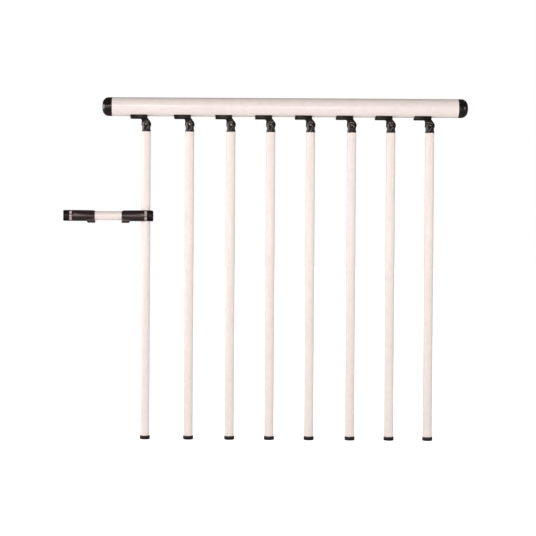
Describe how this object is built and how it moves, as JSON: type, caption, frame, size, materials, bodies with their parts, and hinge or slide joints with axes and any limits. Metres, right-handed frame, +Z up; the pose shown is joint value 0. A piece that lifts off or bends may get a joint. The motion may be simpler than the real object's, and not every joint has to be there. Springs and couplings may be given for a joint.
{
  "type": "landing railing",
  "caption": "Round handrail with domed end caps on slim tubular balusters hung from pivoting brackets, with a short split-clamp tie arm.",
  "frame": {"origin": "middle of the underside of the first baluster's foot cap", "axes": "+X along the handrail away from the tie arm, +Z up, -Y the front"},
  "size_m": [1.1785, 0.055, 1],
  "materials": {
    "white_tube": "satin warm white powder coat",
    "black_plastic": "semi-gloss moulded nylon",
    "screw_steel": "blackened steel screw",
    "liner_plastic": "pale natural nylon"
  },
  "bodies": {
    "post_1": {"knuckle_link_1": "black_plastic", "pivot_screw_1": "screw_steel", "baluster_1": "white_tube", "foot_cap_1": "black_plastic"},
    "handrail": {"handrail": "white_tube", "handrail_cap_left": "black_plastic", "handrail_cap_right": "black_plastic", "rail_bracket_1": "black_plastic", "rail_bracket_2": "black_plastic", "rail_bracket_3": "black_plastic", "rail_bracket_4": "black_plastic", "rail_bracket_5": "black_plastic", "rail_bracket_6": "black_plastic", "rail_bracket_7": "black_plastic", "rail_bracket_8": "black_plastic"},
    "arm": {"arm_clamp_left": "black_plastic", "arm_clamp_cap_left": "black_plastic", "arm_clamp_liner_left": "liner_plastic", "arm_clamp_right": "black_plastic", "arm_clamp_cap_right": "black_plastic", "arm_clamp_liner_right": "liner_plastic", "arm_tube": "white_tube"},
    "baluster_2_swing": {"knuckle_link_2": "black_plastic", "pivot_screw_2": "screw_steel", "baluster_2": "white_tube", "foot_cap_2": "black_plastic"},
    "baluster_3_swing": {"knuckle_link_3": "black_plastic", "pivot_screw_3": "screw_steel", "baluster_3": "white_tube", "foot_cap_3": "black_plastic"},
    "baluster_4_swing": {"knuckle_link_4": "black_plastic", "pivot_screw_4": "screw_steel", "baluster_4": "white_tube", "foot_cap_4": "black_plastic"},
    "baluster_5_swing": {"knuckle_link_5": "black_plastic", "pivot_screw_5": "screw_steel", "baluster_5": "white_tube", "foot_cap_5": "black_plastic"},
    "baluster_6_swing": {"knuckle_link_6": "black_plastic", "pivot_screw_6": "screw_steel", "baluster_6": "white_tube", "foot_cap_6": "black_plastic"},
    "baluster_7_swing": {"knuckle_link_7": "black_plastic", "pivot_screw_7": "screw_steel", "baluster_7": "white_tube", "foot_cap_7": "black_plastic"},
    "baluster_8_swing": {"knuckle_link_8": "black_plastic", "pivot_screw_8": "screw_steel", "baluster_8": "white_tube", "foot_cap_8": "black_plastic"}
  },
  "joints": [
    {"name": "rail_pitch", "type": "hinge", "parent": "post_1", "child": "handrail", "pos_m": [0, 0, 0.922], "axis": [0, 1, 0], "range_deg": [-45, 45]},
    {"name": "arm_swivel", "type": "hinge", "parent": "post_1", "child": "arm", "pos_m": [0, 0, 0.654], "axis": [0, 0, 1], "range_deg": [-90, 90]},
    {"name": "baluster_2_pivot", "type": "hinge", "parent": "handrail", "child": "baluster_2_swing", "pos_m": [0.127, 0, 0.922], "axis": [0, 1, 0], "range_deg": [-45, 45]},
    {"name": "baluster_3_pivot", "type": "hinge", "parent": "handrail", "child": "baluster_3_swing", "pos_m": [0.2475, 0, 0.922], "axis": [0, 1, 0], "range_deg": [-45, 45]},
    {"name": "baluster_4_pivot", "type": "hinge", "parent": "handrail", "child": "baluster_4_swing", "pos_m": [0.364, 0, 0.922], "axis": [0, 1, 0], "range_deg": [-45, 45]},
    {"name": "baluster_5_pivot", "type": "hinge", "parent": "handrail", "child": "baluster_5_swing", "pos_m": [0.4805, 0, 0.922], "axis": [0, 1, 0], "range_deg": [-45, 45]},
    {"name": "baluster_6_pivot", "type": "hinge", "parent": "handrail", "child": "baluster_6_swing", "pos_m": [0.6005, 0, 0.922], "axis": [0, 1, 0], "range_deg": [-45, 45]},
    {"name": "baluster_7_pivot", "type": "hinge", "parent": "handrail", "child": "baluster_7_swing", "pos_m": [0.715, 0, 0.922], "axis": [0, 1, 0], "range_deg": [-45, 45]},
    {"name": "baluster_8_pivot", "type": "hinge", "parent": "handrail", "child": "baluster_8_swing", "pos_m": [0.8285, 0, 0.922], "axis": [0, 1, 0], "range_deg": [-45, 45]}
  ],
  "couplings": [
    {"joint": "baluster_2_pivot", "follows": "rail_pitch", "ratio": -1},
    {"joint": "baluster_3_pivot", "follows": "rail_pitch", "ratio": -1},
    {"joint": "baluster_4_pivot", "follows": "rail_pitch", "ratio": -1},
    {"joint": "baluster_5_pivot", "follows": "rail_pitch", "ratio": -1},
    {"joint": "baluster_6_pivot", "follows": "rail_pitch", "ratio": -1},
    {"joint": "baluster_7_pivot", "follows": "rail_pitch", "ratio": -1},
    {"joint": "baluster_8_pivot", "follows": "rail_pitch", "ratio": -1}
  ]
}
